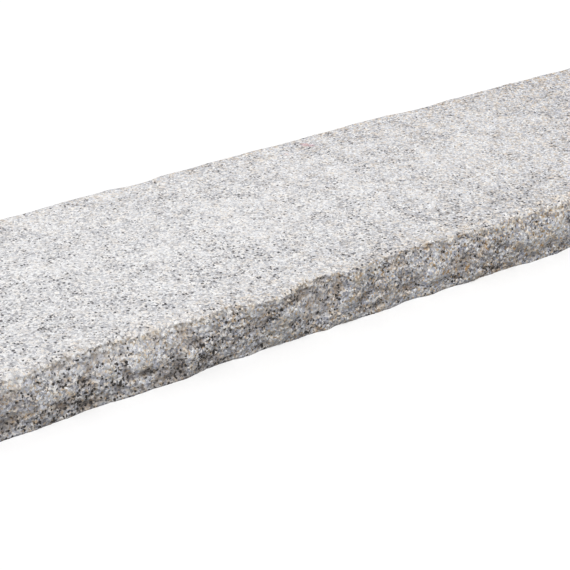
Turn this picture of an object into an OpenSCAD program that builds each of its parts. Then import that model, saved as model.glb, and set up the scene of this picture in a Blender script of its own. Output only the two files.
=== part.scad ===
// Granite coping slab: one piece of stone that caps a garden wall.
//
// The top, the bed and both ends are flat. The two long edges are split. Each
// strike of the pitching tool on an arris takes off a shallow bowl of stone,
// and neighbouring bowls meet in ridges that stand out of the face. Between
// the bowls of the top arris and those of the bed arris the face bulges.
//
// Millimetres. X runs along the slab, the front edge faces -Y and +Z is up.
// The origin is on the bed, in the middle of the slab.

/* [Slab] */
// Length between the sawn ends
slab_length = 1000; // [800:50:1200]
// Width between the mean lines of the two split edges
slab_width = 300; // [240:10:400]
// Thickness between the top and the bed
slab_thickness = 60; // [50:5:80]

/* [Split edges] */
// How far the unstruck face stands out of the mean line at the bed
face_stand_out = 5; // [3:0.5:8]
// How much further the unstruck face stands out at the top
face_lean = 7; // [4:0.5:10]
// Height of the long waves in the unstruck face
wave_height = 1.5; // [0:0.25:2.5]
// How far a bowl has come out at its half width, and at its reach
bowl_rise = 5; // [3:0.5:7]
// How far down the face a strike on the top arris reaches
top_reach = 42; // [30:2:60]
// How far up the face a strike on the bed arris reaches
bed_reach = 54; // [40:2:70]

/* [Facets] */
// Longest facet of a split face, along the slab
facet_length = 7; // [6:1:12]
// Rows of facets between the bed and the top
facet_rows = 9; // [6:1:10]

/* [Hidden] */

stone_grey = [0.80, 0.79, 0.78];

// The strikes are set out on a slab this long, and keep their share of it on a
// longer or shorter one.
set_out_length = 1000;
stretch = slab_length / set_out_length;

// Each strike is [place along the slab, how far its bowl stands out of the mean
// line at the arris, half width of the bowl, outward slope away from the arris].
front_top_strikes = [
    [-478, -1, 30, 0.10], [-410, -6, 30, 0.14], [-362, -8, 26, 0.16],
    [-308, -4, 32, 0.12], [-264, 0, 40, 0.06], [-238, -3, 14, 0.10],
    [-214, 7, 29, -0.22], [-166, 5, 12, 0.04], [-146, -3, 12, 0.02],
    [-128, -3, 28, 0.02], [-95, 7, 32, -0.16], [-58, -2, 20, 0.10],
    [-16, -3, 55, 0.08], [22, -2, 45, 0.12], [66, 1, 22, 0.04],
    [92, 5, 35, -0.10], [128, 2, 45, 0.02], [160, 1, 22, 0.08],
    [205, 4, 34, -0.06], [246, -5, 26, 0.12], [290, 1, 30, 0.04],
    [334, -7, 28, 0.16], [380, -2, 30, 0.08], [418, 5, 26, -0.12],
    [462, -4, 30, 0.10], [498, 1, 26, 0.04],
];
front_bed_strikes = [
    [-466, 2, 60, 0.06], [-420, 1, 40, 0.10], [-380, -1, 46, 0.12],
    [-330, 1, 50, 0.06], [-244, -3, 40, 0.16], [-186, -3, 36, 0.12],
    [-146, -2, 32, 0.06], [-101, -2, 22, 0.14], [-82, -1, 34, 0.10],
    [-48, 0, 40, 0.06], [-16, -3, 24, 0.12], [34, -1, 34, 0.08],
    [78, 0, 36, 0.12], [112, 0, 38, 0.06], [168, 3, 46, 0.04],
    [226, -1, 40, 0.10], [282, -4, 34, 0.14], [340, 0, 44, 0.06],
    [398, -2, 36, 0.12], [452, 1, 44, 0.08],
];
back_top_strikes = [
    [-486, -1, 34, 0.12], [-438, -4, 30, 0.18], [-396, 0, 34, 0.06],
    [-352, -3, 36, 0.14], [-296, -1, 50, 0.10], [-228, 1, 60, 0.14],
    [-167, -3, 32, 0.20], [-110, 1, 56, 0.10], [-48, 2, 60, 0.04],
    [30, 1, 60, 0.12], [96, 2, 60, 0.04], [160, 3, 60, 0.10],
    [236, -2, 54, 0.06], [300, 0, 56, 0.14], [346, 0, 60, 0.12],
    [396, 0, 60, 0.06], [462, -2, 44, 0.14],
];
back_bed_strikes = [
    [-470, 0, 44, 0.10], [-408, -3, 36, 0.14], [-344, 1, 40, 0.06],
    [-280, -4, 40, 0.16], [-214, -1, 34, 0.08], [-160, -5, 38, 0.14],
    [-96, 0, 40, 0.10], [-38, -3, 34, 0.14], [22, 1, 42, 0.06],
    [86, -4, 36, 0.12], [148, -1, 40, 0.10], [204, -3, 30, 0.16],
    [262, 1, 44, 0.06], [328, -4, 38, 0.14], [394, -1, 36, 0.10],
    [456, -3, 40, 0.12],
];

// The long waves of the unstruck faces: [length along the slab, length up the
// face, share of the wave height, start in degrees]. The back starts further on.
waves = [[173, 210, 0.5, 20], [97, 140, 0.3, 110], [61, 90, 0.2, 250]];
back_wave_start = 137;

// The split faces run past the ends, the top and the bed, which then trim them.
end_trim = 6;
columns = ceil((slab_length + 2 * end_trim) / facet_length);
column_step = (slab_length + 2 * end_trim) / columns;
row_step = slab_thickness / facet_rows;
rows = facet_rows + 2;

function sum(values, i = 0) = i < len(values) ? values[i] + sum(values, i + 1) : 0;

function wave(x, z, start) = wave_height * sum([
    for (w = waves) w[2] * sin(360 * x / w[0] + 360 * z / w[1] + w[3] + start)
]);

// One bowl, at a place along the slab and a distance away from the struck arris.
function bowl(strike, x, away, reach) =
    strike[1] + strike[3] * away
    + bowl_rise * pow((x - strike[0] * stretch) / strike[2], 2)
    + bowl_rise * pow(away / reach, 2);

// How far a split face stands out of its mean line: whatever is left by all
// the strikes on it.
function stand_out(x, z, top_strikes, bed_strikes, wave_start) = min(concat(
    [face_stand_out + face_lean * z / slab_thickness + wave(x, z, wave_start)],
    [for (s = top_strikes) bowl(s, x, max(slab_thickness - z, 0), top_reach)],
    [for (s = bed_strikes) bowl(s, x, max(z, 0), bed_reach)]
));

// The points of a split face, in columns from -X to +X. Each column starts one
// step below the bed and ends one step above the top. side is -1 at the front.
function face_points(side, top_strikes, bed_strikes, wave_start) = [
    for (i = [0:columns], j = [0:rows])
        let (
            x = i * column_step - slab_length / 2 - end_trim,
            z = (j - 1) * row_step,
            out = stand_out(x, z, top_strikes, bed_strikes, wave_start)
        )
        [x, side * (slab_width / 2 + out), z]
];

// The number of a point in the front face, and in the back face, which follows.
function front(i, j) = i * (rows + 1) + j;
function back(i, j) = front(columns + 1, 0) + front(i, j);

// The two triangles between four corners.
function facet(a, b, c, d) = [[a, b, c], [a, c, d]];

// The stone as it is split: two rough faces, closed off past the trimmed sides.
module split_blank() {
    polyhedron(
        points = concat(
            face_points(-1, front_top_strikes, front_bed_strikes, 0),
            face_points(1, back_top_strikes, back_bed_strikes, back_wave_start)
        ),
        faces = [
            for (i = [0:columns - 1], j = [0:rows - 1]) each concat(
                facet(front(i, j), front(i, j + 1), front(i + 1, j + 1), front(i + 1, j)),
                facet(back(i, j), back(i + 1, j), back(i + 1, j + 1), back(i, j + 1))
            ),
            for (i = [0:columns - 1]) each concat(
                facet(front(i, 0), front(i + 1, 0), back(i + 1, 0), back(i, 0)),
                facet(front(i, rows), back(i, rows), back(i + 1, rows), front(i + 1, rows))
            ),
            for (j = [0:rows - 1]) each concat(
                facet(front(0, j), back(0, j), back(0, j + 1), front(0, j + 1)),
                facet(front(columns, j), front(columns, j + 1),
                    back(columns, j + 1), back(columns, j))
            )
        ]
    );
}

// The room between the flat top, bed and ends, wider than the split stone.
module sawn_block() {
    translate([-slab_length / 2, -slab_width, 0])
        cube([slab_length, 2 * slab_width, slab_thickness]);
}

module coping_slab() {
    color(stone_grey)
        intersection() {
            sawn_block();
            split_blank();
        }
}

coping_slab();
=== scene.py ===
"""A granite coping slab: flamed top, split long edges, sawn ends and bed.

The split faces start from the solid's, and get the hollows, bosses and broken crystals
that are too small for it. Outlines of the whole section, one at each place along the
slab, are then joined into one closed mesh. Its attributes tell the materials where the
stone is hollow, bruised, stained by iron or burst by the flame.
"""

import math

import bpy
import numpy as np
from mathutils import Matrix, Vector, noise
from mathutils.bvhtree import BVHTree


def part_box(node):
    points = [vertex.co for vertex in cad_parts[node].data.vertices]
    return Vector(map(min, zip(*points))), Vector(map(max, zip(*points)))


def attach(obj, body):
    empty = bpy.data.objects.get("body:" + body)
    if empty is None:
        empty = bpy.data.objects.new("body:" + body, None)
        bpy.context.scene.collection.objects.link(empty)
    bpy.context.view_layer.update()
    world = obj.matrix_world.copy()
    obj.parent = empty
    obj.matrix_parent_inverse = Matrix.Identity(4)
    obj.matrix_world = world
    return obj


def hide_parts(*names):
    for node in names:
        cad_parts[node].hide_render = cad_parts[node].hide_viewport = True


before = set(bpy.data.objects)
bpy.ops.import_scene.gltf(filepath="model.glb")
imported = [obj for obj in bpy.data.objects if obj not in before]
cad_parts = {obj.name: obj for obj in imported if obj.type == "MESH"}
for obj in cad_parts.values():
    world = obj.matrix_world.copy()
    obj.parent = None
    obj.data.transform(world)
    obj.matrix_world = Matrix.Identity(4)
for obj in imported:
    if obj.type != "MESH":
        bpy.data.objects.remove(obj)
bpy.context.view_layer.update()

MM = 0.001
NODE = "coping_slab"
low, high = (np.array(corner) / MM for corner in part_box(NODE))
thickness = high[2] - low[2]

# ---------------------------------------------------------------- shape, in millimetres

# The mesh.
COLUMN_STEP = 1.5         # along the slab, fine enough to hold a broken crystal
ROW_STEP = 1.5            # up a split face
TOP_STEP = 7.0            # across the flamed top, away from its arrises
BED_STEP = 50.0           # across the bed
ARRIS_ROWS = 7            # fine rows of the top next to each arris
FACET_BLUR = 2.6          # takes the solid's facets out of the split faces
SKIN = 0.05               # the split faces stay this far inside the solid's box
ROOM = 2.0                # and flatten off over the last of the room that they have

# The split faces.
MARKED_TO = 206           # the front's marks are listed up to here along it
MARKS_PER_METRE = 45      # of hollows by chance where none are placed, and of bosses
SCARS_PER_METRE = 70      # of the smaller flakes that came away, which are all by chance
HOLLOWS_BY = 1.08         # brings the depths of all the hollows to size
BOSSES_BY = 0.65          # and those of the bosses
LUMP_SIZE = 8.5           # of the lumps of several crystals
CRYSTAL_SIZE = 5.5        # of the largest crystals that stand out
CHIP_SIZE = 3.2           # of the pieces that those have broken into
WAVE_SIZE = 24.0          # of the waves in the stretches that have marks by chance
ARRIS_BAND = 13.0         # height below the top that the struck arris takes up
ARRIS_ROUGHER = 0.8       # how much rougher it is than the rest
BED_BAND = 6.0            # height above the bed where the sawn edge keeps the split calm
BED_CALM = 0.7            # how much of the roughness is gone there
BACK_ARRIS_CALM = 0.85    # and along the arris of the back, which has crumbled less
PIT_SIZE = 6.0            # hollows narrower than this gather dust and painted shade

# The flamed top.
BRUISED = 16.0            # how far in from a struck arris it is bruised
FRONT_BRUISE = 0.6        # how strongly it is bruised next to the front arris
BACK_BRUISE = 0.1         # and next to the back one
SPALL_LEVEL = 0.25        # what the flame's relief has above this is the flat of the top

# The iron that stains the stone: [share next to a split face, how far in it reaches].
IRON_EDGES = [(0.25, 8.0), (0.25, 50.0)]
IRON_FACE = 8.0           # depth of the split faces, which have all of that
IRON_EVERYWHERE = 0.22
IRON_AT_RIGHT = 0.80      # what is added at the right end

# What the front face has besides its bowls: [place along the slab, height, half
# width, half height, slant in degrees, depth].
# The depth of each hollow also paints it darker and browner: brown dust and painted shade.
FRONT_HOLLOWS = [
    (-477, 17, 12, 16, 0, 3.0), (-474, 43, 8, 8, 0, 1.6), (-463, 20, 7, 7, 0, 1.2),
    (-462, 32, 6, 7, 0, 1.6), (-455, 41, 10, 6, 0, 1.6), (-430, 25, 5, 4, 0, 0.6),
    (-424, 4, 14, 4, 0, 0.4), (-419, 20, 5, 5, 0, 1.2), (-416, 14, 10, 7, 0, 2.4),
    (-415, 54, 8, 5, 0, 1.4), (-414, 38, 6, 6, 0, 1.4), (-407, 20, 5, 5, 0, 1.6),
    (-394, 31, 6, 6, 0, 2.8), (-393, 6, 7, 6, 0, 3.5), (-386, 42, 3, 13, 0, 2.0),
    (-377, 51, 7, 5, 0, 1.9), (-359, 17, 6, 5, 0, 1.5), (-356, 9, 6, 5, 0, 1.6),
    (-350, 47, 6, 5, 0, 0.8), (-350, 33, 5, 7, 0, 1.4), (-347, 24, 5, 5, 0, 3.8),
    (-343, 18, 5, 5, 0, 1.4), (-331, 22, 6, 5, 0, 3.8), (-320, 18, 5, 5, 0, 1.2),
    (-319, 4, 7, 5, 0, 1.6), (-307, 17, 10, 12, 0, 1.8), (-301, 5, 8, 6, 0, 4.0),
    (-297, 33, 10, 5, -45, 1.4), (-296, 20, 6, 6, 0, 1.6), (-292, 9, 6, 15, 0, 5.0),
    (-288, 51, 8, 7, 0, 1.8), (-282, 38, 7, 6, 0, 2.2), (-281, 19, 5, 5, 0, 1.2),
    (-273, 35, 7, 6, -30, 2.6), (-262, 16, 5, 5, 0, 1.0), (-262, 50, 5, 5, 0, 0.6),
    (-244, 27, 6, 6, 0, 0.6), (-240, 3, 8, 5, 0, 1.4), (-203, 31, 7, 7, 0, 1.4),
    (-200, 6, 9, 5, 0, 1.8), (-195, 50, 6, 5, 0, 1.0), (-164, 51, 8, 6, 20, 2.4),
    (-163, 24, 6, 6, 20, 1.0), (-150, 50, 8, 5, 0, 2.8), (-146, 12, 5, 4, 0, 0.8),
    (-138, 36, 16, 20, 0, 0.6), (-127, 58, 14, 2, 0, 1.0), (-126, 38, 22, 22, 0, 1.2),
    (-120, 22, 12, 9, 0, 0.6), (-111, 0, 5, 4, 0, 2.0), (-105, 54, 10, 5, 0, 0.8),
    (-104, 46, 11, 7, 0, 1.4), (-75, 27, 15, 5, 42, 2.4), (-59, 10, 7, 4, 0, 1.4),
    (-44, 54, 6, 4, 20, 1.0), (-28, 31, 7, 9, 0, 1.8), (-24, 16, 8, 5, 0, 0.8),
    (-14, 57, 10, 4, 0, 1.0), (-10, 24, 9, 8, 0, 2.0), (0, 30, 5, 8, 0, 1.4),
    (12, 13, 10, 4, 0, 0.7), (12, 55, 8, 6, 0, 1.4), (22, 41, 5, 8, 0, 2.2),
    (29, 51, 6, 7, 0, 1.4), (37, 33, 5, 7, 0, 1.6), (47, 38, 6, 7, 0, 1.8),
    (50, 24, 9, 7, 0, 1.5), (57, 33, 10, 8, -15, 2.4), (76, 42, 5, 6, 0, 1.4),
    (78, 57, 5, 4, 0, 0.6), (82, 12, 12, 3, -15, 1.8), (93, 6, 6, 3, -50, 1.6),
    (101, 33, 12, 3, -15, 1.4), (102, 4, 6, 5, 0, 2.2), (136, 50, 5, 5, 0, 1.0),
    (147, 44, 3, 8, 0, 1.0), (149, 10, 7, 5, 0, 1.8), (167, 18, 7, 6, 0, 1.4),
    (170, 47, 4, 4, 0, 0.6), (170, 12, 6, 5, 0, 1.0), (190, 9, 6, 6, 0, 1.8),
    (196, 42, 6, 6, 0, 1.0), (203, 32, 6, 8, 0, 1.8),
]
# And what stands proud, which is also painted paler as a painted highlight: [..., how far it
# stands out].
FRONT_BOSSES = [
    (-430, 50, 7, 6, 0, 2.0), (-429, 14, 7, 7, 0, 2.6), (-427, 34, 8, 9, 0, 3.0),
    (-408, 26, 6, 7, 0, 2.4), (-396, 16, 4, 4, 0, 1.2), (-382, 18, 4, 6, 0, 1.2),
    (-378, 50, 6, 4, 0, 1.0), (-377, 19, 5, 9, 0, 1.6), (-369, 34, 7, 8, 0, 3.2),
    (-363, 31, 7, 10, 0, 3.2), (-349, 41, 5, 5, 0, 0.6), (-338, 12, 5, 5, 0, 0.8),
    (-331, 44, 7, 6, 0, 2.8), (-331, 35, 9, 9, 0, 5.0), (-324, 11, 5, 5, 0, 1.6),
    (-311, 33, 8, 7, 0, 0.8), (-300, 41, 8, 7, 0, 2.6), (-282, 23, 5, 12, 0, 1.8),
    (-277, 10, 7, 6, 0, 2.0), (-264, 28, 8, 8, 0, 1.6), (-257, 50, 8, 7, 0, 2.3),
    (-243, 10, 8, 6, 0, 3.0), (-241, 42, 6, 6, 0, 1.4), (-235, 46, 9, 8, 0, 3.0),
    (-219, 22, 7, 12, 0, 1.8), (-216, 51, 8, 6, 0, 1.8), (-203, 50, 6, 6, 0, 1.6),
    (-191, 24, 9, 8, 0, 3.4), (-184, 14, 12, 11, 0, 2.4), (-184, 9, 11, 7, 0, 4.0),
    (-178, 33, 9, 9, 0, 3.0), (-174, 22, 10, 12, 0, 2.2), (-168, 32, 14, 12, 0, 2.2),
    (-168, 29, 16, 5, 40, 1.6), (-158, 8, 12, 8, 0, 3.4), (-150, 14, 8, 6, 0, 2.2),
    (-149, 38, 6, 5, 0, 0.6), (-124, 44, 6, 5, 0, 1.0), (-122, 1, 6, 4, 0, 1.6),
    (-102, 7, 6, 6, 0, 1.6), (-101, 22, 12, 8, 30, 2.6), (-92, 25, 9, 10, 0, 3.4),
    (-92, 4, 15, 8, 0, 4.0), (-88, 50, 12, 8, 0, 3.2), (-66, 18, 12, 6, 0, 2.0),
    (-62, 50, 11, 8, 0, 2.6), (-58, 17, 8, 4, 0, 2.2), (-50, 34, 7, 8, 0, 3.4),
    (-43, 12, 7, 10, 0, 3.0), (-38, 20, 6, 8, 0, 1.2), (-36, 42, 6, 9, 0, 3.0),
    (-35, 58, 7, 4, 0, 1.0), (-18, 6, 7, 5, 0, 2.0), (-13, 43, 7, 6, 0, 1.0),
    (5, 52, 7, 5, 0, 1.2), (5, 42, 6, 6, 0, 1.0), (12, 19, 8, 6, 0, 1.6),
    (14, 34, 14, 7, 60, 2.6), (20, 20, 16, 5, 0, 1.4), (37, 43, 6, 6, 0, 2.0),
    (49, 40, 7, 6, 0, 1.6), (67, 6, 16, 9, 0, 4.6), (89, 46, 6, 8, 0, 1.8),
    (100, 44, 6, 8, 0, 1.2), (108, 22, 7, 6, 0, 2.0), (110, 54, 8, 5, 0, 2.0),
    (117, 13, 8, 8, 0, 4.8), (120, 37, 7, 12, 0, 4.4), (122, 27, 8, 8, 0, 2.4),
    (135, 40, 10, 11, 0, 4.2), (137, 18, 8, 7, 0, 2.0), (141, 33, 8, 8, 0, 1.6),
    (150, 30, 36, 20, 0, 1.8), (154, 28, 8, 9, 0, 2.0), (157, 19, 9, 9, 0, 3.6),
    (167, 33, 9, 10, 0, 3.8), (178, 39, 8, 13, 0, 4.4), (183, 18, 8, 8, 0, 2.4),
    (194, 47, 6, 5, 0, 1.0), (198, 26, 9, 8, 0, 1.8), (200, 55, 8, 5, 0, 1.6),
]
# Where the front arris has crumbled: [place along the slab, half width, drop].
WORN_ARRIS = [
    (-464, 12, 2.0), (-430, 16, 1.6), (-338, 18, 2.8), (-305, 14, 1.4), (-274, 12, 1.8),
    (-240, 10, 0.8), (-177, 14, 3.0), (-158, 7, 2.2), (-148, 4, 1.6), (-105, 14, 0.5),
    (-72, 16, 1.2), (-37, 8, 1.0), (0, 12, 0.8), (34, 12, 1.2), (84, 16, 2.6),
    (124, 26, 3.4), (186, 34, 3.2),
]
# Where the flame has burst more of the top's crystals, or fewer: [place along the slab,
# place across it, half length, half width, slant in degrees, how many more].
TOP_BURSTS = [
    (-100, -115, 600, 50, 0, -0.05), (-440, -100, 40, 60, 0, -0.06),
    (-400, -15, 25, 18, 0, 0.08), (-330, 20, 60, 60, 0, -0.04), (-280, 45, 22, 18, 0, 0.11),
    (-180, 15, 35, 18, 0, -0.08), (-140, 0, 50, 55, 0, 0.14), (-140, 110, 55, 30, 0, 0.04),
    (-100, -90, 80, 30, 0, -0.07), (-60, 135, 40, 25, 0, 0.10), (0, 105, 20, 15, 0, 0.08),
    (25, 0, 60, 45, 0, 0.12), (40, -135, 25, 15, 0, 0.10), (45, 80, 30, 25, 0, 0.10),
    (150, -20, 50, 30, 0, 0.10), (250, 20, 40, 150, 0, 0.09),
]


def spread(start, end, step):
    """Evenly spaced places from start to end, about a step apart."""
    return np.linspace(start, end, round((end - start) / step) + 1)


def soften(field, radius, spacing):
    """A field with every detail under about the radius smoothed away."""
    reach = math.ceil(3 * radius / spacing)
    offsets = np.arange(-reach, reach + 1) * spacing
    weights = np.exp(-0.5 * (offsets / radius) ** 2)
    weights /= weights.sum()
    for axis in (0, 1):
        pads = [(reach, reach) if a == axis else (0, 0) for a in (0, 1)]
        padded = np.pad(field, pads, mode="reflect", reflect_type="odd")
        field = np.apply_along_axis(np.convolve, axis, padded, weights, "valid")
    return field


def split_base(side, xs, heights):
    """How far a split face stands out from the slab's middle plane, from the solid.

    side is -1 at the front and 1 at the back, here and below.
    """
    solid = bpy.data.objects[NODE]
    tree = BVHTree.FromObject(solid, bpy.context.evaluated_depsgraph_get())
    inset = 0.02
    outside = side * 2 * high[1]

    def reach(x, z):
        x = min(max(x, low[0] + inset), high[0] - inset)
        z = min(max(z, low[2] + inset), high[2] - inset)
        hit = tree.ray_cast(Vector((x, outside, z)) * MM, Vector((0, -side, 0)))
        return abs(hit[0].y) / MM

    return np.array([[reach(x, z) for z in heights] for x in xs])


def crystal(point, size, tilt):
    """Height of a surface of crystals that have each cleaved at a slant of their own."""
    middle = noise.voronoi(point / size)[1][0]
    slant = noise.cell_vector(middle * 7.3)   # far enough apart to differ for each crystal
    return tilt * slant.dot(point - middle * size)


def chance_marks(dice, start, end):
    """Marks like those listed, for a stretch that has none."""
    count = round(MARKS_PER_METRE * (end - start) / 1000)
    margin = 6.0
    return [(dice.uniform(start, end), dice.uniform(margin, thickness - margin),
             dice.uniform(4, 13), dice.uniform(4, 12), dice.uniform(-40, 40),
             dice.uniform(0.6, 1.8)) for _ in range(count)]


def dents(x, z, marks):
    """The depth of all the marks together."""
    depth = np.zeros_like(x)
    for place, height, half_width, half_height, slant, most in marks:
        turn = math.radians(slant)
        dx, dz = x - place, z - height
        along = (dx * math.cos(turn) + dz * math.sin(turn)) / half_width
        across = (dz * math.cos(turn) - dx * math.sin(turn)) / half_height
        depth += most * np.exp(-(along ** 2 + across ** 2))
    return depth


def scars(x, z, dice):
    """The depth of the smaller flakes that came away with the split, each a tilted bowl."""
    depth = np.zeros_like(x)
    for _ in range(round(SCARS_PER_METRE * (x[-1, 0] - x[0, 0]) / 1000)):
        place, height = dice.uniform(x[0, 0], x[-1, 0]), dice.uniform(0, thickness)
        half_width, most = dice.uniform(5, 12), dice.uniform(0.2, 0.9)
        half_height = 1.3 * half_width
        turn = dice.uniform(0, math.tau)
        dx, dz = (x - place) / half_width, (z - height) / half_height
        away = dx ** 2 + dz ** 2
        lean = 1 + 0.8 * (dx * math.cos(turn) + dz * math.sin(turn))
        depth = np.maximum(depth, most * lean * np.clip(1 - away, 0, 1))
    return depth


def broken_grains(x, z, side):
    """The roughness of a split face, on top of its bowls and marks."""
    point = Vector((x, side * 400.0, z))
    lumps = 0.6 * noise.fractal(point / LUMP_SIZE + Vector((9, 3, 5)), 0.8, 2.2, 2)
    return lumps + crystal(point, CRYSTAL_SIZE, tilt=0.32) + crystal(point, CHIP_SIZE, tilt=0.4)


def chance_waves(x, z, side):
    """The broad waves of a split face, for the stretches that have marks by chance."""
    point = Vector((x, side * 400.0, z))
    return 0.8 * noise.fractal(point / WAVE_SIZE, 0.9, 2.1, 3)


def arris_drop(x, side):
    """How far the arris has crumbled below the plane of the top.

    The back arris has only lost its edge. The front one is worn in places, beyond
    MARKED_TO in waves about 34 mm long, and chips of about 7 mm have come out of it.
    """
    point = Vector((x, side * 700.0, 0.0))
    if side > 0:
        return 0.5 + 0.3 * noise.noise(point / 30)
    worn = sum(drop * math.exp(-((x - place) / half_width) ** 2)
               for place, half_width, drop in WORN_ARRIS)
    if x > MARKED_TO:
        worn += 1.5 + 2.0 * noise.noise(point / 34)
    chip = 3.5 * max(0.0, noise.fractal(point / 7 + Vector((3, 1, 4)), 0.8, 2.1, 2))
    edge_lost = 0.3
    return max(edge_lost, edge_lost + worn + chip)


def split_face(side, xs, heights):
    """Of every point of one split face: reach, height, and how hollow and bruised it is.

    The listed marks end at MARKED_TO on the front, and chance places the rest.
    Among the listed ones, the scars and waves have 0.3 of their depth.
    A point is fully hollow 3 mm deep in a mark or 4 mm deep in a pit. An arris is
    bruised the more it has crumbled.
    """
    dice = np.random.default_rng(5 + side)
    x, level = np.meshgrid(xs, heights, indexing="ij")
    left_to_chance = 1.0 if side > 0 else np.clip((x - MARKED_TO) / 20, 0.3, 1)
    if side < 0:
        hollows = FRONT_HOLLOWS + chance_marks(dice, MARKED_TO, high[0])
        bosses = FRONT_BOSSES + chance_marks(dice, MARKED_TO, high[0])
    else:
        hollows = chance_marks(dice, low[0], high[0])
        bosses = chance_marks(dice, low[0], high[0])
    hollow = HOLLOWS_BY * dents(x, level, hollows) - BOSSES_BY * dents(x, level, bosses)
    waves = np.array([[chance_waves(place, z, side) for z in heights] for place in xs])
    hollow += left_to_chance * (scars(x, level, dice) - waves)

    drop = np.array([arris_drop(place, side) for place in xs])[:, None]
    near_top = np.clip(1 - (thickness - level) / ARRIS_BAND, 0, 1)
    near_bed = np.clip(1 - level / BED_BAND, 0, 1)
    rough = np.array([[broken_grains(place, z, side) for z in heights] for place in xs])
    rough *= 1 + ARRIS_ROUGHER * near_top
    calm = BED_CALM * near_bed
    if side > 0:
        upper_half = np.clip(near_top * 2 - 1, 0, 1)
        calm += BACK_ARRIS_CALM * upper_half

    reach = soften(split_base(side, xs, heights), FACET_BLUR, COLUMN_STEP)
    reach += (rough - hollow) * (1 - calm) - drop * near_top ** 2
    room = (high[1] if side > 0 else -low[1]) - SKIN - reach
    flattened = ROOM * np.exp(np.minimum(room, ROOM) / ROOM - 1)
    reach += room - np.where(room > ROOM, room, flattened)

    # Narrow hollows, which the split finish paints darker as dust and painted shade.
    pits = soften(reach, PIT_SIZE, COLUMN_STEP) - reach
    bruise = np.clip(0.25 + drop / 3, 0, 1) * near_top ** 2
    return reach, level * (1 - drop / thickness), hollow / 3 + pits / 4, bruise


def top_relief(x, y):
    """The shallow spalls that flaming leaves in the top, about 17 mm and 6.5 mm wide."""
    point = Vector((x, y, 0.0))
    return 0.28 * noise.fractal(point / 17, 0.8, 2.1, 2) + 0.10 * noise.noise(point / 6.5)


def across_top(width):
    """Shares of the way across the top, close together near both arrises."""
    fine = np.arange(ARRIS_ROWS) * ROW_STEP / width
    plain = spread(fine[-1], 1 - fine[-1], TOP_STEP / width)
    return np.concatenate([fine[:-1], plain, 1 - fine[:-1][::-1]])[1:-1]


def iron_stain(x, y):
    """How much iron has stained the stone: more near the split faces and the right end."""
    inside = np.clip(np.minimum(high[1] - y, y - low[1]) - IRON_FACE, 0, None)
    edge = sum(share * np.exp(-inside / reach) for share, reach in IRON_EDGES)
    along = (x - low[0]) / (high[0] - low[0])
    return edge + IRON_EVERYWHERE + IRON_AT_RIGHT * along ** 2


def stone_rings():
    """Outlines of the slab's section, one at each place along it.

    Each goes up the front, over the top, down the back and under the bed. Also the
    side that each stretch of an outline is on, and how hollow, bruised, stained and
    burst the stone is at each point.
    """
    xs = spread(low[0], high[0], COLUMN_STEP)
    heights = spread(0, thickness, ROW_STEP)
    front, front_z, front_hollow, front_bruise = split_face(-1, xs, heights)
    back, back_z, back_hollow, back_bruise = split_face(1, xs, heights)

    share = across_top(high[1] - low[1])[None, :]
    width = front[:, -1:] + back[:, -1:]
    top_x, top_y = np.broadcast_arrays(xs[:, None], share * width - front[:, -1:])
    inward = np.minimum(share, 1 - share) * width
    drop = thickness - np.where(share < 0.5, front_z[:, -1:], back_z[:, -1:])
    run_in = 1.0 + 1.2 * drop
    rounded = drop * np.exp(-inward / run_in)
    relief = np.array([[top_relief(x, y) for y in row] for x, row in zip(xs, top_y)])
    fade_in = 1 - np.exp(-inward / 4)
    spalls = np.minimum(relief - SPALL_LEVEL, 0) * fade_in
    top_z = thickness - rounded + spalls
    top_bruise = np.where(share < 0.5, FRONT_BRUISE, BACK_BRUISE) * np.exp(-inward / BRUISED)

    bed_share = spread(0, 1, BED_STEP / (high[1] - low[1]))[None, 1:-1]
    bed_y = back[:, :1] - bed_share * (front[:, :1] + back[:, :1])

    plain_face, plain_top, plain_bed = (np.zeros_like(part) for part in (front, top_y, bed_y))
    y = np.hstack([-front, top_y, back[:, ::-1], bed_y])
    z = np.hstack([front_z, top_z, back_z[:, ::-1], plain_bed])
    x = xs[:, None] + np.zeros_like(y)
    fields = {
        "hollow": np.hstack([front_hollow, plain_top, back_hollow[:, ::-1], plain_bed]),
        "bruise": np.hstack([front_bruise, top_bruise, back_bruise[:, ::-1], plain_bed]),
        "iron": iron_stain(x, y),
        "burst": np.hstack([plain_face, dents(top_x, top_y, TOP_BURSTS), plain_face, plain_bed]),
    }
    up, over, under = len(heights) - 1, top_y.shape[1] + 1, bed_y.shape[1] + 1
    sides = ["front"] * up + ["top"] * over + ["back"] * up + ["bed"] * under
    return np.stack([x, y, z], axis=-1), sides, fields


# ---------------------------------------------------------------- materials

# Widths of what shows in the stone, in millimetres.
GRAIN = 2.0        # crystals of feldspar and quartz
GRAIN_BEND = 2.6   # how far the outlines of the crystals wander
MICA = 3.0         # room of one mica flake, whose radius is up to about half of that
PATCH = 42.0       # patches with more dark or more pale crystals, and patches in them
FLECK = 0.9        # the mottling inside a crystal; 0.3 in the stone, drawn so that it shows
RUST = 12.0        # rust that has bled from the mica
SAW_LINE = 3.0     # the saw's feed for each turn of its blade
SAW_CENTRE = (0.0, -80.0, 420.0)   # the blade's middle, in the plane of each end

MICA_TAPER = 1.2   # flakes range from the largest to none; more taper leaves fewer
MICA_EDGE = 0.08   # the soft edge of a flake, as a share of its room
WAVE_LENGTH = math.tau / 20        # of the wave texture at scale 1, in its own units

# What is left on the top of a stroke of pink crayon from the stone yard: [place of each
# smear along the slab and across it, its reach, its strength].
CRAYON = [(48, 134, 6.5, 0.50), (53, 128, 6.0, 0.38), (15, 123, 6.0, 0.15)]

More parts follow.
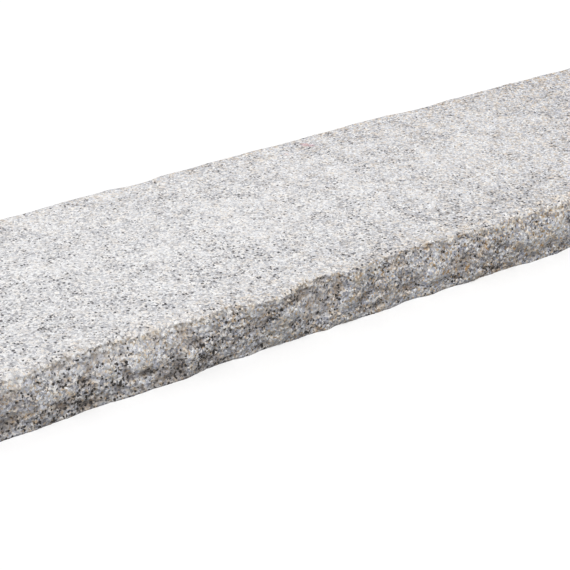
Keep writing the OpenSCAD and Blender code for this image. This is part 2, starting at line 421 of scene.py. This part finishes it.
# The crystals of each finish, darkest first: [share of the crystals below, colour].
FRESH = [(0.0, "#88878a"), (0.10, "#afaeb0"), (0.25, "#d1d0d2"), (0.44, "#ebeaea"),
         (0.66, "#fcfbfb"), (0.86, "#ffffff")]
# The pale crushed grains of a struck arris, also used as a painted highlight on what stands proud
# of a split face.
PALE_CRUSHED_AND_LIT = [(0.0, "#b9b7b4"), (0.10, "#d0cecb"), (0.28, "#e4e2df"), (0.50, "#f1f0ed"),
           (0.72, "#fbfaf8"), (0.92, "#ffffff")]
BURST = [(0.0, "#b0b0b4"), (0.10, "#c6c6c9"), (0.28, "#dcdcde"), (0.50, "#ecebeb"),
         (0.72, "#faf9f9"), (0.92, "#ffffff")]
CUT = [(0.0, "#8f8b8a"), (0.14, "#a19e9c"), (0.34, "#b5b2b0"), (0.50, "#c6c2bf"),
       (0.74, "#d6d2ce"), (0.93, "#e2dedb")]
# The hue of each crystal where there is the most iron: [share of the crystals below,
# colour], from the blue-grey ones to the tan ones.
HUES = [(0.0, "#a5a9b9"), (0.24, "#cccfdb"), (0.43, "#f2f5f9"), (0.66, "#fcfaf8"),
        (0.86, "#e7dac8"), (0.97, "#ba9d74")]


def rgb(code):
    """A linear colour with alpha, from sRGB hex."""
    parts = [int(code[i:i + 2], 16) / 255 for i in (1, 3, 5)]
    return [c / 12.92 if c <= 0.04045 else ((c + 0.055) / 1.055) ** 2.4 for c in parts] + [1.0]


def add(tree, kind, inputs=(), ramp=(), stepped=False, **settings):
    """Adds a node with its settings, and links or fills its inputs. Returns it.

    An input may be a value, an output, or a node, which stands for its first output
    in use. ramp holds a colour ramp's [place, colour] stops, with hard steps between
    them if it is stepped.
    """
    made = tree.nodes.new(kind)
    for name, value in settings.items():
        setattr(made, name, value)
    for name, value in dict(inputs).items():
        if isinstance(value, bpy.types.Node):
            value = next(out for out in value.outputs if out.enabled)
        if isinstance(value, bpy.types.NodeSocket):
            tree.links.new(value, made.inputs[name])
        else:
            made.inputs[name].default_value = value
    for number, (place, code) in enumerate(ramp):
        elements = made.color_ramp.elements
        element = elements[number] if number < 2 else elements.new(place)
        element.position = place
        element.color = rgb(code)
    if stepped:
        made.color_ramp.interpolation = "CONSTANT"
    return made


def granite(name, patchy):
    """A new material and what all its patterns start from.

    That is the place in the stone in millimetres, the same place bent so that the
    crystals' outlines wander, and the patches of darker and paler stone, from -patchy
    to patchy.
    """
    material = bpy.data.materials.new(name)
    material.use_nodes = True
    tree = material.node_tree
    tree.nodes.clear()
    place = add(tree, "ShaderNodeTexCoord").outputs["Object"]
    mm = add(tree, "ShaderNodeVectorMath", {0: place, "Scale": 1 / MM}, operation="SCALE")
    stir = add(tree, "ShaderNodeTexNoise", {"Vector": mm, "Scale": 1 / GRAIN, "Detail": 2.0})
    pull = add(tree, "ShaderNodeVectorMath", {0: stir.outputs["Color"], 1: (0.5, 0.5, 0.5)},
               operation="SUBTRACT")
    bend = add(tree, "ShaderNodeVectorMath", {0: pull, "Scale": GRAIN_BEND}, operation="SCALE")
    bent = add(tree, "ShaderNodeVectorMath", {0: mm, 1: bend}, operation="ADD")
    patch = add(tree, "ShaderNodeTexNoise", {"Vector": mm, "Scale": 1 / PATCH, "Detail": 4.0,
                                             "Roughness": 0.78})
    drift = add(tree, "ShaderNodeMapRange", {"Value": patch, "From Min": 0.25, "From Max": 0.75,
                                             "To Min": -patchy, "To Max": patchy}, clamp=False)
    return material, tree, mm, bent, drift


def crystals(tree, bent, drift):
    """A number from 0 to 1 for each crystal, low for a dark one, and its other numbers."""
    grain = add(tree, "ShaderNodeTexVoronoi", {"Vector": bent, "Scale": 1 / GRAIN})
    parts = add(tree, "ShaderNodeSeparateColor", {"Color": grain.outputs["Color"]})
    pick = add(tree, "ShaderNodeMath", {0: parts, 1: drift}, operation="ADD", use_clamp=True)
    return pick, parts


def tinted(tree, mm, colour, parts, strength):
    """Crystals that differ in hue, and rust that has bled around them."""
    iron = add(tree, "ShaderNodeAttribute", attribute_name="iron").outputs["Fac"]
    share = add(tree, "ShaderNodeMath", {0: iron, 1: strength}, operation="MULTIPLY",
                use_clamp=True)
    hue = add(tree, "ShaderNodeValToRGB", {"Fac": parts.outputs["Blue"]}, ramp=HUES)
    colour = add(tree, "ShaderNodeMix", {0: share, 6: colour, 7: hue},
                 data_type="RGBA", blend_type="MULTIPLY")
    bleed = add(tree, "ShaderNodeTexNoise", {"Vector": mm, "Scale": 1 / RUST, "Detail": 4.0})
    bled = add(tree, "ShaderNodeMapRange", {"Value": bleed, "From Min": 0.50,
                                            "From Max": 0.72, "To Max": 0.8})
    rusty = add(tree, "ShaderNodeMath", {0: bled, 1: share}, operation="MULTIPLY")
    return add(tree, "ShaderNodeMix", {0: rusty, 6: colour, 7: rgb("#f4dfc2")},
               data_type="RGBA", blend_type="MULTIPLY")


def stained(tree, bruise, colour):
    """The struck arris and its crushed grains, which hold more rust."""
    iron = add(tree, "ShaderNodeAttribute", attribute_name="iron").outputs["Fac"]
    share = add(tree, "ShaderNodeMath", {0: bruise, 1: iron}, operation="MULTIPLY",
                use_clamp=True)
    return add(tree, "ShaderNodeMix", {0: share, 6: colour, 7: rgb("#f5efe5")},
               data_type="RGBA", blend_type="MULTIPLY")


def with_mica(tree, bent, clear, colour, mica, most):
    """Dark flakes of mica between the crystals, fewer of them where clear is high.

    most is the radius of the largest flake, as a share of its room.
    """
    flakes = add(tree, "ShaderNodeTexVoronoi", {"Vector": bent, "Scale": 1 / MICA})
    chance = add(tree, "ShaderNodeSeparateColor", {"Color": flakes.outputs["Color"]})
    rare = add(tree, "ShaderNodeMath", {0: chance, 1: clear}, operation="ADD")
    edge = add(tree, "ShaderNodeMath", {0: rare, 1: MICA_TAPER, 2: flakes.outputs["Distance"]},
               operation="MULTIPLY_ADD")
    dark = add(tree, "ShaderNodeMapRange", {"Value": edge, "From Min": most,
                                            "From Max": most + MICA_EDGE,
                                            "To Min": 1.0, "To Max": 0.0})
    return add(tree, "ShaderNodeMix", {0: dark, 6: colour, 7: rgb(mica)}, data_type="RGBA")


def mottled(tree, mm, colour, parts, most):
    """The mottling inside the crystals, and the height of each crystal with it."""
    fine = add(tree, "ShaderNodeTexNoise", {"Vector": mm, "Scale": 1 / FLECK, "Detail": 1.0})
    shade = add(tree, "ShaderNodeMapRange", {"Value": fine, "From Min": 0.25, "From Max": 0.75,
                                             "To Min": 1 - most, "To Max": 1 + most}, clamp=False)
    colour = add(tree, "ShaderNodeVectorMath", {0: colour, "Scale": shade}, operation="SCALE")
    height = add(tree, "ShaderNodeMath", {0: parts.outputs["Green"], 1: fine}, operation="ADD")
    return colour, height


def surface(tree, colour, height, relief, roughness):
    """The outside of the stone: relief is the height of its crystals in millimetres.

    The IOR is that of feldspar and quartz.
    """
    bump = add(tree, "ShaderNodeBump", {"Height": height, "Distance": relief * MM})
    skin = add(tree, "ShaderNodeBsdfPrincipled", {"Base Color": colour, "Roughness": roughness,
                                                  "IOR": 1.54, "Normal": bump})
    add(tree, "ShaderNodeOutputMaterial", {"Surface": skin})


def flamed_granite():
    """Grey granite, flamed: a torch run over the sawn face has burst its crystals.

    The burst crystals are full of fine cracks that scatter the light, so the eye gets a
    pale, dry, slightly rough surface with dimmed mica and faint hues.
    """
    material, tree, mm, bent, drift = granite("flamed_granite", patchy=0.29)
    burst = add(tree, "ShaderNodeAttribute", attribute_name="burst").outputs["Fac"]
    drift = add(tree, "ShaderNodeMath", {0: drift, 1: burst}, operation="ADD")
    pick, parts = crystals(tree, bent, drift)
    colour = add(tree, "ShaderNodeValToRGB", {"Fac": pick}, ramp=BURST, stepped=True)
    colour = tinted(tree, mm, colour, parts, strength=0.70)
    bruise = add(tree, "ShaderNodeAttribute", attribute_name="bruise").outputs["Fac"]
    colour = stained(tree, bruise, colour)
    colour = with_mica(tree, bent, drift, colour, "#474548", most=0.42)
    for along, across, reach, strength in CRAYON:
        away = add(tree, "ShaderNodeVectorMath", {0: mm, 1: (along, across, thickness)},
                   operation="DISTANCE")
        share = add(tree, "ShaderNodeMapRange", {"Value": away, "From Max": reach,
                                                 "To Min": strength, "To Max": 0.0})
        colour = add(tree, "ShaderNodeMix", {0: share, 6: colour, 7: rgb("#d98a96")},
                     data_type="RGBA")
    colour, height = mottled(tree, mm, colour, parts, most=0.14)
    surface(tree, colour, height, relief=0.3, roughness=0.85)
    return material


def split_granite():
    """Grey granite, split with a pitching tool: its crystals have cleaved.

    Clean cleavage shows every crystal at full strength, so the eye gets white feldspar,
    smoky quartz, black mica and tan grains, with a slight glint. The struck arris is
    crushed to a paler, warmer powder, and the same pale colours on what stands proud are a
    painted highlight. The hollows hold a brown dust, and are painted darker with more mica
    as painted shade.
    """
    material, tree, mm, bent, drift = granite("split_granite", patchy=0.36)
    pick, parts = crystals(tree, bent, drift)
    bruise = add(tree, "ShaderNodeAttribute", attribute_name="bruise").outputs["Fac"]
    hollow = add(tree, "ShaderNodeAttribute", attribute_name="hollow").outputs["Fac"]
    # What stands proud is painted paler with the crushed colours of the struck arris, as a
    # painted highlight.
    proud = add(tree, "ShaderNodeMapRange", {"Value": hollow, "From Max": -1.0})
    struck = add(tree, "ShaderNodeMath", {0: bruise, 1: proud}, operation="ADD")
    crushed = add(tree, "ShaderNodeMath", {0: struck, 1: 0.85}, operation="MULTIPLY")
    fresh = add(tree, "ShaderNodeValToRGB", {"Fac": pick}, ramp=FRESH, stepped=True)
    powder = add(tree, "ShaderNodeValToRGB", {"Fac": pick}, ramp=PALE_CRUSHED_AND_LIT, stepped=True)
    colour = add(tree, "ShaderNodeMix", {0: crushed, 6: fresh, 7: powder}, data_type="RGBA")
    colour = tinted(tree, mm, colour, parts, strength=1.1)
    colour = stained(tree, bruise, colour)
    # The hollows are painted darker and browner: brown dust, and painted shade.
    dust_and_shade = add(tree, "ShaderNodeMapRange", {"Value": hollow, "To Max": 0.6})
    colour = add(tree, "ShaderNodeMix", {0: dust_and_shade, 6: colour, 7: rgb("#7d6b58")},
                 data_type="RGBA", blend_type="MULTIPLY")
    # Crushing knocks mica out of the struck arris, and what stands proud gets fewer flakes as a
    # painted highlight; the hollows get more flakes as painted shade.
    bare = add(tree, "ShaderNodeMath", {0: crushed, 1: 0.3, 2: drift}, operation="MULTIPLY_ADD")
    clear = add(tree, "ShaderNodeMath", {0: dust_and_shade, 1: -0.25, 2: bare}, operation="MULTIPLY_ADD")
    colour = with_mica(tree, bent, clear, colour, "#1b140f", most=0.53)
    colour, height = mottled(tree, mm, colour, parts, most=0.17)
    surface(tree, colour, height, relief=0.5, roughness=0.6)
    return material


def sawn_granite():
    """Grey granite, sawn with a diamond disc: its crystals are cut through flat.

    The cut dulls all the crystals alike and leaves a film of grey slurry, so the eye gets
    a darker, even, matt stone with the faint arcs of the disc.
    """
    material, tree, mm, bent, drift = granite("sawn_granite", patchy=0.28)
    pick, parts = crystals(tree, bent, drift)
    colour = add(tree, "ShaderNodeValToRGB", {"Fac": pick}, ramp=CUT, stepped=True)
    colour = tinted(tree, mm, colour, parts, strength=0.6)
    colour = with_mica(tree, bent, drift, colour, "#3c3937", most=0.50)
    colour, height = mottled(tree, mm, colour, parts, most=0.2)
    from_centre = add(tree, "ShaderNodeVectorMath", {0: mm, 1: SAW_CENTRE},
                      operation="SUBTRACT")
    rings_per_mm = 1 / SAW_LINE
    arcs = add(tree, "ShaderNodeTexWave", {"Vector": from_centre, "Distortion": 1.5,
                                           "Scale": rings_per_mm * WAVE_LENGTH},
               wave_type="RINGS", rings_direction="X")
    height = add(tree, "ShaderNodeMath", {0: arcs.outputs["Fac"], 1: 2.5, 2: height},
                 operation="MULTIPLY_ADD")
    surface(tree, colour, height, relief=0.05, roughness=0.7)
    return material


# ---------------------------------------------------------------- the piece

def stone_mesh(rings, sides, finishes):
    """The closed skin through all the rings, with flat ends, and the side each face is on."""
    columns, around = rings.shape[:2]
    number = np.arange(columns * around).reshape(columns, around)
    ahead = np.roll(number, -1, axis=1)
    skin = np.stack([number[:-1], number[1:], ahead[1:], ahead[:-1]], axis=-1).reshape(-1, 4)
    faces = skin.tolist() + [number[0].tolist(), number[-1, ::-1].tolist()]
    mesh = bpy.data.meshes.new("coping_slab_stone")
    mesh.from_pydata(rings.reshape(-1, 3) * MM, [], faces)
    on = sides * (columns - 1) + ["left end", "right end"]
    materials = list(dict.fromkeys(finishes.values()))
    for material in materials:
        mesh.materials.append(material)
    mesh.polygons.foreach_set("material_index", [materials.index(finishes[s]) for s in on])
    flat = ("bed", "left end", "right end")
    mesh.polygons.foreach_set("use_smooth", [s not in flat for s in on])
    return mesh, on


def bake_map(mesh, on):
    """A map at one scale all over, with the six sides laid out in a square."""
    gap = 6.0
    square = high[0] - low[0] + 2 * gap
    wide, tall = high[1] - low[1], thickness
    rows = np.cumsum([gap, wide + gap, wide + gap, tall + gap, tall + gap])
    place = {  # side: [two directions in millimetres, lower left corner]
        "top": ((1, 0, 0), (0, 1, 0), (gap, rows[0])),
        "bed": ((1, 0, 0), (0, -1, 0), (gap, rows[1])),
        "front": ((1, 0, 0), (0, 0, 1), (gap, rows[2])),
        "back": ((-1, 0, 0), (0, 0, 1), (gap, rows[3])),
        "left end": ((0, -1, 0), (0, 0, 1), (gap, rows[4])),
        "right end": ((0, 1, 0), (0, 0, 1), (2 * gap + wide, rows[4])),
    }
    spots = np.empty(len(mesh.loops), dtype=np.int32)
    mesh.loops.foreach_get("vertex_index", spots)
    points = np.empty(len(mesh.vertices) * 3)
    mesh.vertices.foreach_get("co", points)
    points = points.reshape(-1, 3)[spots] / MM
    names = np.repeat(on, [len(face.vertices) for face in mesh.polygons])
    uv = np.empty((len(spots), 2))
    for side, (across, up, corner) in place.items():
        here = names == side
        for axis, way in enumerate((across, up)):
            way = np.array(way)
            start = min(way @ low, way @ high)
            uv[here, axis] = (points[here] @ way - start + corner[axis]) / square
    mesh.uv_layers.new(name="OFBake").data.foreach_set("uv", uv.ravel())


def coping_slab():
    """The one piece of stone, in its three finishes."""
    rings, sides, fields = stone_rings()
    flamed, split, sawn = flamed_granite(), split_granite(), sawn_granite()
    finishes = {"top": flamed, "front": split, "back": split, "bed": sawn,
                "left end": sawn, "right end": sawn}
    mesh, on = stone_mesh(rings, sides, finishes)
    for name, field in fields.items():
        mesh.attributes.new(name, "FLOAT", "POINT").data.foreach_set("value", field.ravel())
    bake_map(mesh, on)
    mesh.update()
    stone = bpy.data.objects.new("coping_slab_stone", mesh)
    bpy.context.scene.collection.objects.link(stone)
    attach(stone, "root")
    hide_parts(NODE)


# ---------------------------------------------------------------- studio

def seen(tree):
    """1 for rays that show a thing itself: to the camera, in gloss and through glass."""
    path = add(tree, "ShaderNodeLightPath")
    shown = add(tree, "ShaderNodeMath", {0: path.outputs["Is Camera Ray"],
                                         1: path.outputs["Is Glossy Ray"]},
                operation="MAXIMUM")
    return add(tree, "ShaderNodeMath", {0: shown, 1: path.outputs["Is Transmission Ray"]},
               operation="MAXIMUM")


def floor():
    """A plain floor, white to look at, that throws a quarter of the light back up."""
    material = bpy.data.materials.new("studio_floor")
    material.use_nodes = True
    tree = material.node_tree
    tree.nodes.clear()
    white = add(tree, "ShaderNodeBsdfDiffuse", {"Color": rgb("#ffffff")})
    grey = add(tree, "ShaderNodeBsdfDiffuse", {"Color": rgb("#8a8a8a")})
    mix = add(tree, "ShaderNodeMixShader", {0: seen(tree), 1: grey, 2: white})
    add(tree, "ShaderNodeOutputMaterial", {"Surface": mix})
    mesh = bpy.data.meshes.new("studio_floor")
    far = 6.0
    mesh.from_pydata([(-far, -far, 0), (far, -far, 0), (far, far, 0), (-far, far, 0)],
                     [], [(0, 1, 2, 3)])
    mesh.materials.append(material)
    obj = bpy.data.objects.new("studio_floor", mesh)
    bpy.context.scene.collection.objects.link(obj)


def surroundings():
    """A studio that is white to look at, with a soft, even light on the slab."""
    studio = bpy.data.worlds.new("studio")
    bpy.context.scene.world = studio
    studio.use_nodes = True
    tree = studio.node_tree
    tree.nodes.clear()
    white = add(tree, "ShaderNodeBackground", {"Color": rgb("#ffffff"), "Strength": 1.0})
    soft = add(tree, "ShaderNodeBackground", {"Color": rgb("#ffffff"), "Strength": 0.45})
    mix = add(tree, "ShaderNodeMixShader", {0: seen(tree), 1: soft, 2: white})
    add(tree, "ShaderNodeOutputWorld", {"Surface": mix})


def sun(name, turn, height, spread_angle, strength):
    """A wide, even light: turn is from the front towards +X, height above the floor."""
    turn, height = math.radians(turn), math.radians(height)
    towards = Vector((math.sin(turn) * math.cos(height), -math.cos(turn) * math.cos(height),
                      math.sin(height)))
    data = bpy.data.lights.new(name, "SUN")
    data.angle = math.radians(spread_angle)
    data.energy = strength
    obj = bpy.data.objects.new(name, data)
    obj.location = towards * 3
    obj.rotation_euler = (-towards).to_track_quat("-Z", "Y").to_euler()
    bpy.context.scene.collection.objects.link(obj)


def camera():
    """The view from the front left and above, aimed at the left half of the front arris."""
    turn, down, distance = math.radians(34.11), math.radians(28), 1.5864
    aim = Vector((-0.1661, -0.1411, thickness * MM))
    ahead = Vector((math.sin(turn) * math.cos(down), math.cos(turn) * math.cos(down),
                    -math.sin(down)))
    data = bpy.data.cameras.new("view")
    data.sensor_width = 36.0
    data.lens = 102.9
    obj = bpy.data.objects.new("view", data)
    obj.location = aim - ahead * distance
    obj.rotation_euler = ahead.to_track_quat("-Z", "Y").to_euler()
    bpy.context.scene.collection.objects.link(obj)
    bpy.context.scene.camera = obj


def plain(box):
    """A box as plain lists of numbers."""
    return [list(map(float, corner)) for corner in box]


coping_slab()
floor()
surroundings()
sun("skylight", turn=-30, height=58, spread_angle=20, strength=2.22)
camera()
bpy.context.scene.view_settings.view_transform = "Standard"
